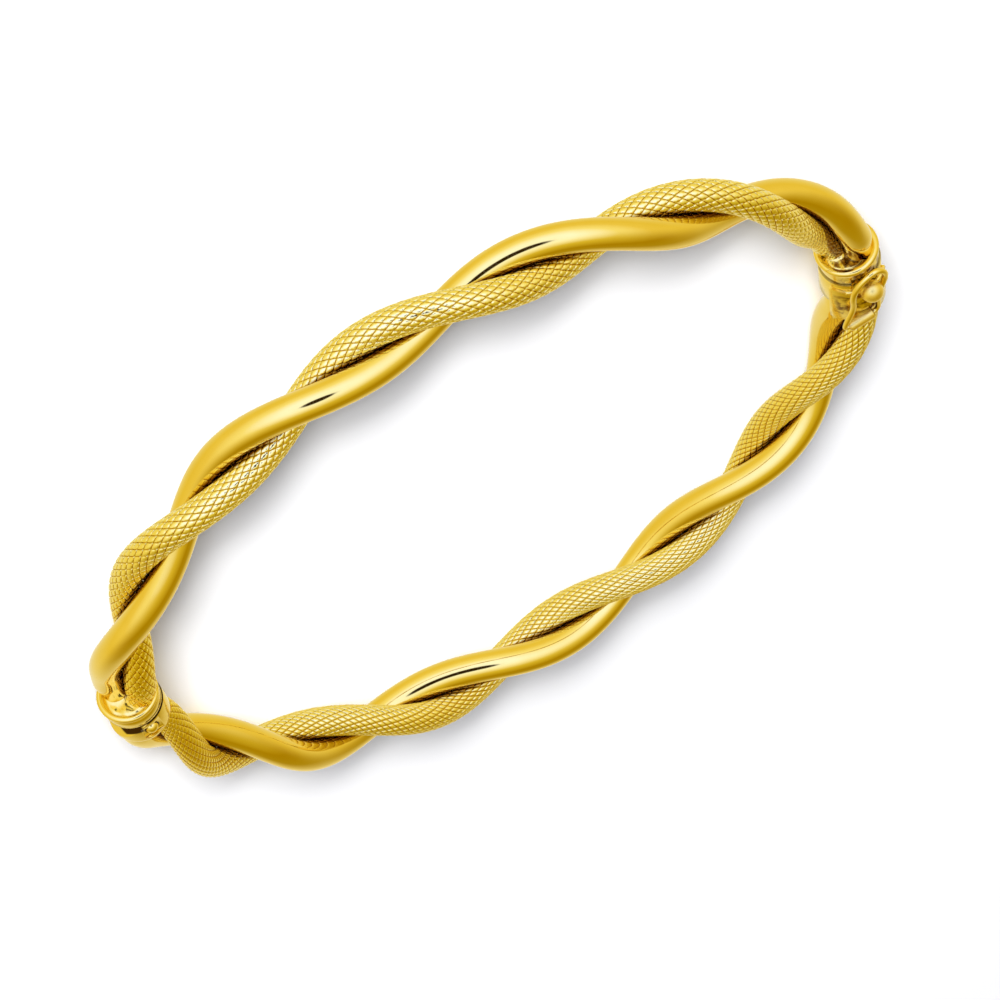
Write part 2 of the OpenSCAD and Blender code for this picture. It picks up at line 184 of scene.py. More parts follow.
class Recipe:
    # the nodes of one material, or of the surroundings
    def __init__(self, owner):
        self.owner = owner
        owner.use_nodes = True
        self.tree = owner.node_tree
        self.tree.nodes.clear()

    def node(self, kind, settings=None, inputs=None, output=0):
        made = self.tree.nodes.new(kind)
        for name, value in (settings or {}).items():
            if name == "stops":
                for stop, (position, colour) in zip(self.stopsFor(made, len(value)), value):
                    stop.position = position
                    stop.color = colour
            else:
                setattr(made, name, value)
        for key, value in (inputs or {}).items():
            if isinstance(value, Signal):
                self.tree.links.new(value.socket, made.inputs[key])
            else:
                made.inputs[key].default_value = value
        return Signal(self, made.outputs[output]) if len(made.outputs) else made

    def stopsFor(self, ramp, count):
        stops = ramp.color_ramp.elements
        while len(stops) < count:
            stops.new(0.5)
        return stops

    def metal(self, colour, roughness, bump):
        shader = self.node("ShaderNodeBsdfPrincipled", None, {
            "Base Color": colour, "Metallic": 1.0, "Roughness": roughness, "Normal": bump})
        self.node("ShaderNodeOutputMaterial", None, {"Surface": shader})
        return self.owner

    def bump(self, strength, distance, height):
        return self.node("ShaderNodeBump", None, {
            "Strength": strength, "Distance": distance * mm, "Height": height})

    def place(self):
        return self.node("ShaderNodeTexCoord", None, None, "Object")

    def noise(self, scale, detail=3):
        return self.node("ShaderNodeTexNoise", None, {
            "Vector": self.place(), "Scale": scale, "Detail": detail})

    def attribute(self, name):
        return self.node("ShaderNodeAttribute", {"attribute_name": name}, None, "Fac")

    def axis(self, name):
        return self.node("ShaderNodeSeparateXYZ", None, {0: self.place()}, name)

    def distance(self, spot):
        return self.node("ShaderNodeVectorMath", {"operation": "LENGTH"}, {0: spot}, "Value")

    def awayFrom(self, centre, axes):
        # how far from a point, counting only the axes given as 1
        spot = self.node("ShaderNodeVectorMath", {"operation": "SUBTRACT"}, {0: self.place(), 1: centre})
        flat = self.node("ShaderNodeVectorMath", {"operation": "MULTIPLY"}, {0: spot, 1: axes})
        return self.distance(flat)

    def spread(self, signal, low, high, toLow, toHigh):
        return self.node("ShaderNodeMapRange", None, {0: signal, 1: low, 2: high, 3: toLow, 4: toHigh})

    def uneven(self, noise, low, high):
        # a roughness between two values, as a noise goes
        return self.spread(noise, 0.3, 0.7, low, high)

    def blend(self, factor, first, second):
        return self.node("ShaderNodeMix", {"data_type": "RGBA"}, {0: factor, 6: first, 7: second}, 2)


gold = dict(
    polished=(0.93, 0.73, 0.17, 1), polishedWarm=(0.91, 0.7, 0.145, 1), polishedRoughness=0.07,
    textured=(1.0, 0.88, 0.29, 1), texturedDeep=(0.97, 0.77, 0.1, 1), texturedRoughness=0.16,
    groove=(0.7, 0.46, 0.0, 1), tarnishAndShadeColour=(0.3, 0.15, 0.01, 1), paintedShade=(0.05, 0.02, 0.001, 1),
    darkPatches=(0.16, 0.06, 0.003, 1), fittingRoughness=0.14, boxRoughness=0.18, ballRoughness=0.36)

# Marks on each finish: noise scales, how far the roughness goes down and up, and the bumps in millimetres
marks = dict(
    polished=dict(patches=350, polish=2500, uneven=(-0.02, 0.04), dents=900, dentDetail=2, strength=0.06),
    fitting=dict(patches=900, polish=3500, uneven=(-0.05, 0.06), dents=1400, dentDetail=3, strength=0.2),
    textured=dict(grain=6000, uneven=(-0.05, 0.07), strength=0.25, height=0.02, grooveShade=0.95, grooveShadeGrain=0.15),
    patchContrast=(0.35, 0.65), dentDepth=0.04)

# Where the painted shade at the seams, in the hollow under the cup and round the pin, and the dark patches of
# the fittings lie, in millimetres
paintedShade = dict(blur=0.05, outside=(2.08, 2.15))
crescent = dict(top=0.5, centre=-31, radius=2.2, blur=0.08, lean=0.077, rise=0.52, narrow=0.05, wide=0.5,
                widening=(1.3, 2.1), outside=(-31.5, -31.3))
pinShade = dict(radius=0.56, blur=0.1)
darkPatches = dict(scale=1100, contrast=(0.44, 0.58), amount=0.9, blur=0.3, upper=(1.2, 1.7))


def newMaterial(name):
    return Recipe(bpy.data.materials.new(name))


def tarnishedAndShaded(recipe, colour):
    # tarnish and painted shade: dark where no polishing cloth reaches and where shade falls, between the
    # strands and in the corners of the fittings
    return recipe.blend(recipe.attribute("shelter"), colour, gold["tarnishAndShadeColour"])


def seamShadeMask(recipe, centre, height, half):
    # painted shade in the gap: 1 on the outside, close to the plane where two fittings meet
    away = recipe.node("ShaderNodeMath", {"operation": "ABSOLUTE"}, {0: recipe.axis("Y") - height * mm})
    near = recipe.spread(away, half * mm, (half + paintedShade["blur"]) * mm, 1, 0)
    inner, outer = paintedShade["outside"]
    return near * recipe.spread(recipe.awayFrom((centre * mm, 0, 0), (1, 0, 1)), inner * mm, outer * mm, 0, 1)


def crescentMask(recipe):
    # the shaded hollow under the cup's edge, wider towards the top
    x = recipe.axis("X")
    drop = crescent["top"] * mm - recipe.axis("Y")
    across = x - (crescent["centre"] * mm + drop * crescent["lean"])
    up = recipe.axis("Z") + drop * crescent["rise"]
    away = recipe.distance(recipe.node("ShaderNodeCombineXYZ", None, {0: across, 2: up}))
    low, high = crescent["widening"]
    width = recipe.spread(up, low * mm, high * mm, crescent["narrow"] * mm, crescent["wide"] * mm)
    radius = crescent["radius"]
    near = recipe.spread(away - width, radius * mm, (radius + crescent["blur"]) * mm, 1, 0)
    outer, inner = crescent["outside"]
    return near * recipe.spread(x, outer * mm, inner * mm, 1, 0)


def pinShadeMask(recipe):
    # painted shade in the recess round the pin's head: 1 round the pin's head
    away = recipe.awayFrom((hinge["pinX"] * mm, hinge["pinY"] * mm, 0), (1, 1, 0))
    radius = pinShade["radius"]
    return recipe.spread(away, radius * mm, (radius + pinShade["blur"]) * mm, 1, 0)


def darkPatchMask(recipe, low, high):
    # brown patches between two heights along Y, on the upper side
    y = recipe.axis("Y")
    blur = darkPatches["blur"]
    along = recipe.spread(y, low * mm, (low + blur) * mm, 0, 1)
    along = along * recipe.spread(y, (high - blur) * mm, high * mm, 1, 0)
    patches = recipe.spread(recipe.noise(darkPatches["scale"], 4), *darkPatches["contrast"], 0, darkPatches["amount"])
    below, above = darkPatches["upper"]
    return patches * along * recipe.spread(recipe.axis("Z"), below * mm, above * mm, 0, 1)


def wornAndShaded(recipe, kind, smooth):
    # colour with warmer patches, tarnish and painted shade, uneven polish and small dents
    patches = recipe.spread(recipe.noise(kind["patches"]), *marks["patchContrast"], 0, 1)
    low, high = kind["uneven"]
    polish = recipe.uneven(recipe.noise(kind["polish"], 4), smooth + low, smooth + high)
    colour = tarnishedAndShaded(recipe, recipe.blend(patches, gold["polished"], gold["polishedWarm"]))
    dents = recipe.noise(kind["dents"], kind["dentDetail"])
    return colour, polish, recipe.bump(kind["strength"], marks["dentDepth"], dents)


def polishedGold():
    recipe = newMaterial("polishedGold")
    return recipe.metal(*wornAndShaded(recipe, marks["polished"], gold["polishedRoughness"]))


def texturedGold():
    recipe = newMaterial("texturedGold")
    kind = marks["textured"]
    grain = recipe.noise(kind["grain"])
    # painted shade: the grooves are coloured darker the deeper they are, mixed with a little random grain
    grooveShade = recipe.attribute("depth") * kind["grooveShade"] + (grain - 0.5) * kind["grooveShadeGrain"]
    low, high = kind["uneven"]
    smooth = gold["texturedRoughness"]
    rough = recipe.uneven(grain, smooth + low, smooth + high)
    cells = recipe.blend(recipe.attribute("rich"), gold["textured"], gold["texturedDeep"])
    colour = recipe.blend(grooveShade, cells, gold["groove"])
    bump = recipe.bump(kind["strength"], kind["height"], grain)
    return recipe.metal(tarnishedAndShaded(recipe, colour), rough, bump)


def fittingGold(name, smooth, seamShade=None, underCup=False, darkBand=None):
    recipe = newMaterial(name)
    colour, polish, dents = wornAndShaded(recipe, marks["fitting"], smooth)
    if seamShade:
        # painted shade along the gap where two fittings meet
        colour = recipe.blend(seamShadeMask(recipe, *seamShade), colour, gold["paintedShade"])
    if underCup:
        # painted shadow in the hollow under the cup's edge, and painted shade in the recess round the pin's
        # head
        colour = recipe.blend(crescentMask(recipe), colour, gold["paintedShade"])
        colour = recipe.blend(pinShadeMask(recipe), colour, gold["paintedShade"])
    if darkBand:
        # dark brown patches in a band along Y, on the upper side
        colour = recipe.blend(darkPatchMask(recipe, *darkBand), colour, gold["darkPatches"])
    return recipe.metal(colour, polish, dents)


# a seam's painted shade is given by its centre along X, its height along Y and half its width
finishes = dict(
    polished=polishedGold(), textured=texturedGold(),
    fitting=fittingGold("fittingGold", gold["fittingRoughness"]),
    ball=fittingGold("ballGold", gold["ballRoughness"]),
    hingeCup=fittingGold("hingeCupGold", gold["fittingRoughness"], (-end, 0.45, 0.03)),
    hingeCap=fittingGold("hingeCapGold", gold["fittingRoughness"], (-end, 0.45, 0.05), underCup=True),
    claspCup=fittingGold("claspCupGold", gold["fittingRoughness"], (end, -0.4, 0.03), darkBand=(-0.7, 1.1)),
    claspBox=fittingGold("claspBoxGold", gold["boxRoughness"], (end, -0.4, 0.03), darkBand=(-4.3, -1.4)))
print("materials mixed")


def dress(piece, finish):
    piece.data.materials.clear()
    piece.data.materials.append(finishes[finish])


# Centre line of a half and the tubes laid round it
def ovalPlace(angle, rise):
    return np.stack([end * np.cos(angle) - oval["crownShift"] * np.sin(angle) ** 2, rise * np.sin(angle)], -1)


def arcTable(rise, steps=120):
    angles = np.linspace(math.pi, 0, steps + 1)
    hops = np.linalg.norm(np.diff(ovalPlace(angles, rise), axis=0), axis=1)
    return np.concatenate([[0], np.cumsum(hops)]), angles


def twistedLength(fromMiddle, length):
    full = length / 2 - strand["straightRun"]
    reach = np.abs(fromMiddle)
    decayed = full + strand["twistDecay"] * (1 - np.exp(np.minimum(full - reach, 0) / strand["twistDecay"]))
    return np.sign(fromMiddle) * np.where(reach < full, reach, decayed)


def squeezeAt(s, length, squeeze, mouths):
    inside = np.clip(np.minimum(s - mouths[0], length - s - mouths[1]) / strand["squeezeRun"], 0, 1)
    return 1 - (1 - squeeze) * (1 + np.cos(np.pi * inside)) / 2


def strandPlaces(s, half, turn):
    # middle, size and two cross directions of a tube at the lengths s from the hinge
    table, angles = arcTable(half["rise"])
    length = table[-1]
    angle = np.interp(s, table, angles)
    side = half["side"]
    middle = ovalPlace(angle, side * half["rise"])
    along = np.stack([end * np.sin(angle) + oval["crownShift"] * np.sin(2 * angle),
                      -side * half["rise"] * np.cos(angle)], -1)
    along /= np.linalg.norm(along, axis=1, keepdims=True)
    outward = side * np.stack([-along[:, 1], along[:, 0]], -1)
    roll = np.radians(half["middleTurn"] + turn
                      + side * 360 * half["turns"] / length * twistedLength(s - length / 2, length))
    size = squeezeAt(s, length, half["squeeze"], half["mouths"])
    offset = strand["offset"] * size
    return np.column_stack([middle + (offset * np.cos(roll))[:, None] * outward, offset * np.sin(roll)]), size


def eased(share):
    share = np.clip(share, 0, 1)
    return share * share * (3 - 2 * share)


def crossDirections(middles):
    along = np.gradient(middles, axis=0)
    along /= np.linalg.norm(along, axis=1, keepdims=True)
    across = np.cross([0, 0, 1], along)
    across /= np.linalg.norm(across, axis=1, keepdims=True)
    return across, np.cross(along, across)


# The two halves, with the seats of their tubes in the fittings at the hinge and at the clasp
tongueSeats = [hinge["rimHeight"] - cupRoll["dishDepth"] + cupRoll["seatGap"],
               clasp["rimHeight"] - cupRoll["dishDepth"] + cupRoll["seatGap"]]
boxSeats = [hinge["capLength"] + cupRoll["seatGap"],
            clasp["sleeveLength"] - clasp["mouth"] + cupRoll["seatGap"]]
halves = dict(
    tongue=dict(rise=oval["tongueRise"], side=1, turns=3.57, middleTurn=-185, squeeze=0.85, seats=tongueSeats,
                mouths=[hinge["rimHeight"] + cupRoll["radius"], clasp["rimHeight"] + cupRoll["radius"]],
                tarnishAndShadeFrom=(0.82, 0.7), deepShade=0.4, body="tongue_half"),
    box=dict(rise=oval["boxRise"], side=-1, turns=3.94, middleTurn=75, squeeze=0.94, seats=boxSeats,
             mouths=boxSeats, tarnishAndShadeFrom=(0.82, 0.7), deepShade=0.0, body="box_half"))


# Tarnish and painted shade in the groove between two strands, and the painted shadow that deepens it on the
# textured one before the clasp
tarnishAndShadeSpread = dict(blur=0.15, deepRun=9, deepFade=5)


def writeAttribute(piece, name, values):
    layer = piece.data.attributes.new(name, "FLOAT", "POINT")
    layer.data.foreach_set("value", values)


def wrapTube(piece, half, turn, s, around, radius, stationCount=1500):
    # lays the vertices of a sheet round a tube: s along it, around in radians and radius for each
    stations = np.linspace(s.min(), s.max(), stationCount)
    middles, size = strandPlaces(stations, half, turn)
    across, over = crossDirections(middles)
    partner = strandPlaces(stations, half, turn + 180)[0] - middles
    partner /= np.linalg.norm(partner, axis=1, keepdims=True)

    def at(values):
        return np.stack([np.interp(s, stations, values[:, k]) for k in range(3)], -1)

    outward = np.cos(around)[:, None] * at(across) + np.sin(around)[:, None] * at(over)
    places = at(middles) + (radius * np.interp(s, stations, size))[:, None] * outward
    moveVertices(piece, places * mm)
    deep = np.clip((s - s.max() + tarnishAndShadeSpread["deepRun"]) / tarnishAndShadeSpread["deepFade"], 0, 1) if turn else 0
    # painted shade with tarnish: darker where a strand faces its partner, and a painted shadow deepening
    # towards the clasp
    facing = (outward * at(partner)).sum(1) - half["tarnishAndShadeFrom"][turn > 0] + half["deepShade"] * deep
    writeAttribute(piece, "shelter", eased(facing / tarnishAndShadeSpread["blur"]))


def squareEnds(piece, half, reach=5):
    # cuts both ends off in the planes of their seats and caps them
    editMesh(piece)
    bpy.ops.mesh.remove_doubles(threshold=tiny["tubeMerge"] * mm)
    backToObject()
    for seat, atClasp in zip(half["seats"], (False, True)):
        editMesh(piece, "DESELECT")
        backToObject()
        places = vertexPlaces(piece)
        near = (np.abs(places[:, 1]) < reach * mm) & ((places[:, 0] > 0) == atClasp)
        for vertex, chosen in zip(piece.data.vertices, near):
            vertex.select = bool(chosen)
        bpy.ops.object.mode_set(mode="EDIT")
        bpy.ops.mesh.select_mode(type="VERT")
        bpy.ops.mesh.bisect(plane_co=(0, half["side"] * seat * mm, 0), plane_no=(0, half["side"], 0),
                            use_fill=True, clear_inner=True, threshold=tiny["cut"] * mm)
        backToObject()
    editMesh(piece)
    bpy.ops.mesh.normals_make_consistent(inside=False)
    backToObject()


def finishTube(piece, half, finish):
    squareEnds(piece, half)
    smoothPiece(piece, 60)
    dress(piece, finish)


smoothTube = dict(rings=420, sides=56, overrun=0.8)


def makeSmoothTube(name, halfName, node):
    half = halves[halfName]
    bpy.ops.mesh.primitive_grid_add(x_subdivisions=smoothTube["rings"],
                                    y_subdivisions=smoothTube["sides"], size=1)
    piece = namePiece(name)
    sheet = vertexPlaces(piece)
    length = arcTable(half["rise"])[0][-1]
    start = half["seats"][0] - smoothTube["overrun"]
    stop = length - half["seats"][1] + smoothTube["overrun"]
    s = start + (sheet[:, 0] + 0.5) * (stop - start)
    around = (sheet[:, 1] + 0.5) * 2 * np.pi
    wrapTube(piece, half, 0, s, around, np.full(len(s), strand["smoothRadius"]))
    finishTube(piece, half, "polished")
    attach(piece, half["body"])
    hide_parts(node)


# Diamond texture: two families of grooves cross and leave raised cells, of a deeper gold near the hinge
knurl = dict(grooveDepth=0.075, crown=0.03, steps=[0, 0.09, 0.33, 0.67, 0.91], wall=0.1, wallCurve=0.6,
             fade=0.5, bare=-0.45, overrun=0.8, richTo=18, richFade=8,
             tongue=dict(leadCount=13, crossCount=13, leadAngle=34, crossAngle=29, dome=0.1),
             box=dict(leadCount=15, crossCount=17, leadAngle=19, crossAngle=36, dome=0.2))


def cellShape(share, dome):
    # height across a cell, from 0 in the grooves to 1 over its middle
    edge = np.minimum(share, 1 - share)
    wall = np.clip(edge / knurl["wall"], 0, 1) ** knurl["wallCurve"]
    return wall * (1 - dome + dome * np.sin(np.pi * share))


def makeTexturedTube(name, halfName, node):
    half = halves[halfName]
    steps = len(knurl["steps"])
    grooves = knurl[halfName]
    leadSlope = math.tan(math.radians(grooves["leadAngle"])) / strand["radius"]
    crossSlope = math.tan(math.radians(grooves["crossAngle"])) / strand["radius"]
    shear = 2 * math.pi / (leadSlope + crossSlope)
    cellLength = shear / grooves["crossCount"]
    length = arcTable(half["rise"])[0][-1]
    start = half["seats"][0] - knurl["overrun"]
    stop = length - half["seats"][1] + knurl["overrun"]
    rows = int(math.ceil((stop - start + shear) / cellLength)) * steps
    columns = grooves["leadCount"] * steps
    bpy.ops.mesh.primitive_grid_add(x_subdivisions=rows, y_subdivisions=columns, size=1)
    piece = namePiece(name)
    sheet = vertexPlaces(piece)
    row = np.rint((sheet[:, 0] + 0.5) * rows).astype(int)
    column = np.rint((sheet[:, 1] + 0.5) * columns).astype(int)
    uneven = np.array(knurl["steps"])
    along = row // steps + uneven[row % steps]
    across = column // steps + uneven[column % steps]
    turn = across / grooves["leadCount"]
    s = np.clip(start + along * cellLength - shear * turn, start, stop)
    around = half["side"] * (2 * math.pi * turn + leadSlope * (s - start))
    dome = grooves["dome"]
    height = cellShape(uneven[row % steps], dome) * cellShape(uneven[column % steps], dome)
    ends = np.minimum(s - half["mouths"][0], length - half["mouths"][1] - s) - knurl["bare"]
    full = eased(ends / knurl["fade"])
    relief = full * (knurl["crown"] * height - knurl["grooveDepth"] * (1 - height))
    wrapTube(piece, half, 180, s, around, strand["radius"] + relief)
    writeAttribute(piece, "depth", full * (1 - height))
    writeAttribute(piece, "rich", np.clip((knurl["richTo"] - s) / knurl["richFade"], 0, 1))
    finishTube(piece, half, "textured")
    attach(piece, half["body"])
    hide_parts(node)


makeSmoothTube("smoothTubeTongueHalf", "tongue", "smooth_tube_tongue_half")
makeSmoothTube("smoothTubeBoxHalf", "box", "smooth_tube_box_half")
makeTexturedTube("texturedTubeTongueHalf", "tongue", "textured_tube_tongue_half")
makeTexturedTube("texturedTubeBoxHalf", "box", "textured_tube_box_half")
print("tubes twisted")


def nodeCopy(name, node):
    # a merged copy of a frame node, to model on
    source = frame["nodes"][node]
    piece = source.copy()
    piece.data = source.data.copy()
    piece.parent = None
    bpy.context.scene.collection.objects.link(piece)
    for key in list(piece.keys()):
        del piece[key]
    makeActive(piece)
    namePiece(name)
    editMesh(piece)
    bpy.ops.mesh.remove_doubles(threshold=tiny["merge"] * mm)
    bpy.ops.mesh.dissolve_limited(angle_limit=math.radians(2))
    backToObject()
    return piece


# Width of the softened edges of each fitting, in millimetres
softEdges = dict(knuckle=0.04, hingeCap=0.04, hingePin=0.02, claspCup=0.03, claspTongue=0.03, thumbLeaf=0.02,
                 claspBox=0.05)


def softenEdges(piece, angle=30, segments=2):
    makeActive(piece)
    bevel = piece.modifiers.new("softEdges", "BEVEL")
    bevel.width = softEdges[piece.name] * mm
    bevel.segments = segments
    bevel.limit_method = "ANGLE"
    bevel.angle_limit = math.radians(angle)
    bpy.ops.object.modifier_apply(modifier=bevel.name)


def keepSide(piece, place, outward):
    # cuts a piece in a plane and caps it, without the side that outward points to
    editMesh(piece)
    bpy.ops.mesh.bisect(plane_co=[v * mm for v in place], plane_no=outward, use_fill=True, clear_outer=True,
                        threshold=tiny["cut"] * mm)
    backToObject()


def combine(piece, tool, operation="DIFFERENCE"):
    makeActive(piece)
    boolean = piece.modifiers.new("combine", "BOOLEAN")
    boolean.operation = operation
    boolean.object = tool
    bpy.ops.object.modifier_apply(modifier=boolean.name)
    bpy.data.objects.remove(tool)


def joinPieces(piece, others):
    makeActive(piece)
    for other in others:
        other.select_set(True)
    bpy.ops.object.join()


def finishFitting(piece, node, finish="fitting", angle=40):
    smoothPiece(piece, angle)
    if finish:
        dress(piece, finish)
    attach(piece, frame["nodes"][node]["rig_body"])
    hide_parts(node)


def turnedPiece(name, centre, outline, steps=112):
    # spins a closed outline of (radius, height) points round an axis along Y
    bpy.ops.mesh.primitive_circle_add(vertices=len(outline), radius=mm, fill_type="NOTHING")
    piece = namePiece(name)
    moveVertices(piece, np.array([((centre + radius) * mm, height * mm, 0) for radius, height in outline]))
    editMesh(piece)
    bpy.ops.mesh.spin(steps=steps, angle=2 * math.pi, center=(centre * mm, 0, 0), axis=(0, 1, 0))
    bpy.ops.mesh.select_all(action="SELECT")
    bpy.ops.mesh.remove_doubles(threshold=tiny["merge"] * mm)
    bpy.ops.mesh.delete_loose(use_verts=True, use_edges=True, use_faces=False)
    bpy.ops.mesh.select_all(action="SELECT")
    bpy.ops.mesh.normals_make_consistent(inside=False)
    backToObject()
    return piece


def slab(name, outline, low, high):
    # an outline of (x, y) points drawn out along Z
    bpy.ops.mesh.primitive_circle_add(vertices=len(outline), radius=mm, fill_type="NGON")
    piece = namePiece(name)
    moveVertices(piece, np.array([(x, y, low) for x, y in outline]) * mm)
    editMesh(piece)
    bpy.ops.mesh.extrude_region_move(TRANSFORM_OT_translate={"value": (0, 0, (high - low) * mm)})
    bpy.ops.mesh.select_all(action="SELECT")
    bpy.ops.mesh.normals_make_consistent(inside=False)
    backToObject()
    return piece


def arcPoints(centre, radius, start, stop, steps):
    angles = np.radians(np.linspace(start, stop, steps + 1))
    return [(centre[0] + radius * math.cos(a), centre[1] + radius * math.sin(a)) for a in angles]


def roundOutline(centre, radius):
    return arcPoints(centre, radius, 0, 352.5, 47)


def box(low, high):
    return [(low[0], low[1]), (high[0], low[1]), (high[0], high[1]), (low[0], high[1])]


# Cups: a wall, a groove and a rolled rim round a dish that is filled with solder
cups = dict(
    hinge=dict(centre=-end, rim=hinge["rimRadius"], crest=hinge["rimHeight"], face=hinge["faceHeight"],
               roll=0.25, wall=2.2, groove=0.12, floor=0.02, climb=0.1, lumps=0.09, knuckleCut=0.02,
               darkSpot=(9, 9), darkSpotSize=0.1),  # a dark spot this far out leaves the dish unmarked
    clasp=dict(centre=end, rim=clasp["rimRadius"], crest=clasp["rimHeight"], face=clasp["faceHeight"],
               roll=0.28, wall=2.27, groove=0.13, floor=-0.1, climb=0.12, lumps=0.1,
               darkSpot=(0.15, 1.4), darkSpotSize=0.75))
profile = dict(corner=0.07, soft=0.02, belly=0.02, neckRise=0.12, neckGap=0.06, rollFrom=-65, rollTo=205,
               rollInside=0.8, ringFrom=0.04, ringStep=0.06)
solder = dict(coarse=1.3, fine=3, fineShare=0.25, layers=(7.1, 2.3), settleRun=0.25, settleDrop=0.12,
              climbRun=0.18, ring=1.9, above=0.3, darkSpotReach=1.4, darkSpotLumps=1.2)


def cupOutline(cup):
    corner, soft, roll = profile["corner"], profile["soft"], cup["roll"]
    middle = cup["rim"] - roll
    low = cup["face"]
    wall = cup["wall"]
    neck = cup["crest"] - roll - profile["neckGap"]
    inner = middle - roll * profile["rollInside"]
    floorAt = cup["crest"] + cup["floor"]
    outline = [(0, low), (wall - corner, low), (wall - soft, low + soft), (wall, low + corner),
               (wall + profile["belly"], (low + neck) / 2), (wall, neck - profile["neckRise"]),
               (wall - cup["groove"], neck)]
    outline += arcPoints((middle, cup["crest"]), roll, profile["rollFrom"], profile["rollTo"], 20)
    rings = np.arange(inner - profile["ringFrom"], 0.0, -profile["ringStep"])
    return outline + [(radius, floorAt) for radius in rings] + [(0, floorAt)]


def lumpAt(x, z):
    coarse, fine = [noise.noise(Vector((x * scale, layer, z * scale)))
                    for scale, layer in zip((solder["coarse"], solder["fine"]), solder["layers"])]
    return coarse + solder["fineShare"] * fine


def pourSolder(piece, cup, halfName, station):
    # lumpy solder in the dish, drawn up round the tubes
    half = halves[halfName]
    places = vertexPlaces(piece) / mm
    x = places[:, 0] - cup["centre"]
    z = places[:, 2]
    radial = np.hypot(x, z)
    edge = cup["rim"] - cup["roll"] * solder["ring"]
    inside = (radial < edge) & (places[:, 1] > cup["face"] + solder["above"])
    gap = np.full(len(places), np.inf)
    for turn in (0, 180):
        middle, size = strandPlaces(np.array([station]), half, turn)
        away = np.hypot(places[:, 0] - middle[0, 0], z - middle[0, 2]) - strand["radius"] * size[0]
        gap = np.minimum(gap, np.maximum(away, 0))
    lumps = np.array([lumpAt(a, b) for a, b in zip(x, z)])
    settle = np.clip((edge - radial) / solder["settleRun"], 0, 1)
    rise = cup["climb"] * np.exp(-gap / solder["climbRun"]) + cup["lumps"] * lumps
    rise -= solder["settleDrop"] * (1 - settle)
    places[inside, 1] += rise[inside]
    moveVertices(piece, places * mm)
    # a dark noisy spot in the dish, shown in the same colour as the tarnish and painted shade
    spot = np.hypot(x - cup["darkSpot"][0], z - cup["darkSpot"][1]) / cup["darkSpotSize"]
    darkSpot = np.clip(solder["darkSpotReach"] - spot + solder["darkSpotLumps"] * lumps, 0, 1)
    writeAttribute(piece, "shelter", np.where(inside, darkSpot, 0))


def makeHingeCup():
    knuckle = nodeCopy("knuckle", "hinge_cup")
    keepSide(knuckle, (0, hinge["faceHeight"] + cups["hinge"]["knuckleCut"], 0), (0, 1, 0))
    softenEdges(knuckle)
    piece = turnedPiece("hingeCup", -end, cupOutline(cups["hinge"]))
    pourSolder(piece, cups["hinge"], "tongue", hinge["rimHeight"])
    joinPieces(piece, [knuckle])
    finishFitting(piece, "hinge_cup", "hingeCup")


# Room in the clasp cup for the pressed ball, and the seat of the tongue
ballRoom = dict(halfWidth=1.02, low=-2, high=0.27, bottom=1.95, top=5)
tongueSeat = dict(halfWidth=1.04, low=-1.4, high=0.04, bottom=0.01, top=0.39)


def cutRoom(piece, name, room):
    outline = box((end - room["halfWidth"], room["low"]), (end + room["halfWidth"], room["high"]))
    combine(piece, slab(name, outline, room["bottom"], room["top"]))


def makeClaspCup():
    piece = turnedPiece("claspCup", end, cupOutline(cups["clasp"]))
    length = arcTable(oval["tongueRise"])[0][-1]
    pourSolder(piece, cups["clasp"], "tongue", length - clasp["rimHeight"])
    cutRoom(piece, "ballRoom", ballRoom)
    cutRoom(piece, "tongueSeat", tongueSeat)
    softenEdges(piece, 50)
    finishFitting(piece, "clasp_cup", "claspCup")


# Hinge cap: a drum that is bevelled for the cup's swing and slotted for the knuckle
cap = dict(radius=2.3, round=0.75, top=2, earRadius=1.2, bevel=45, slope=4.6, slotRadius=1.05, slotHalf=0.8,
           neckHalf=0.86, flat=2.02, flatHalf=0.8, bore=0.42, swing=40, thick=5, far=9)


def earOutline(x, y):
    # round over the pin on the cup's side, then down the bevel
    ear = cap["earRadius"]
    bevel = math.radians(cap["bevel"])
    slope = math.radians(90 + cap["bevel"])
    foot = (x + ear * math.cos(slope) - cap["slope"] * math.cos(bevel),
            y + ear * math.sin(slope) - cap["slope"] * math.sin(bevel))
    outline = [(x + cap["thick"], y - cap["thick"]), (x + cap["thick"], y + ear)]
    return outline + arcPoints((x, y), ear, 90, 90 + cap["bevel"], 12) + [foot, (foot[0], y - cap["far"])]


def neckOutline(x, y):
    # room for the knuckle's neck from the closed cup to the open one
    half, far = cap["neckHalf"], cap["far"]
    swing = math.radians(cap["swing"])
    corner = (x - half * math.cos(swing), y - half * math.sin(swing))
    return [(x + half, y), (x + half, y + far), (x - far, y + far),
            (corner[0] - far * math.sin(swing), corner[1] + far * math.cos(swing)), corner]


def makeHingeCap():
    low = -hinge["capLength"]
    outline = [(0, low)]
    outline += arcPoints((cap["radius"] - cap["round"], low + cap["round"]), cap["round"], -90, 0, 10)
    piece = turnedPiece("hingeCap", -end, outline + [(cap["radius"], cap["top"]), (0, cap["top"])])
    x, y = hinge["pinX"], hinge["pinY"]
    half, thick, flat = cap["slotHalf"], cap["thick"], cap["flatHalf"]
    combine(piece, slab("earProfile", earOutline(x, y), -thick, thick), "INTERSECT")
    combine(piece, slab("knuckleRoom", roundOutline((x, y), cap["slotRadius"]), -half, half))
    combine(piece, slab("neckRoom", neckOutline(x, y), -half, half))
    for side in (1, -1):
        low, high = sorted((side * cap["flat"], side * thick))
        combine(piece, slab("pinSeat", box((x - flat, y - flat), (x + flat, y + flat)), low, high))
    combine(piece, slab("pinBore", roundOutline((x, y), cap["bore"]), -thick, thick))
    softenEdges(piece)
    finishFitting(piece, "hinge_cap", "hingeCap", 50)


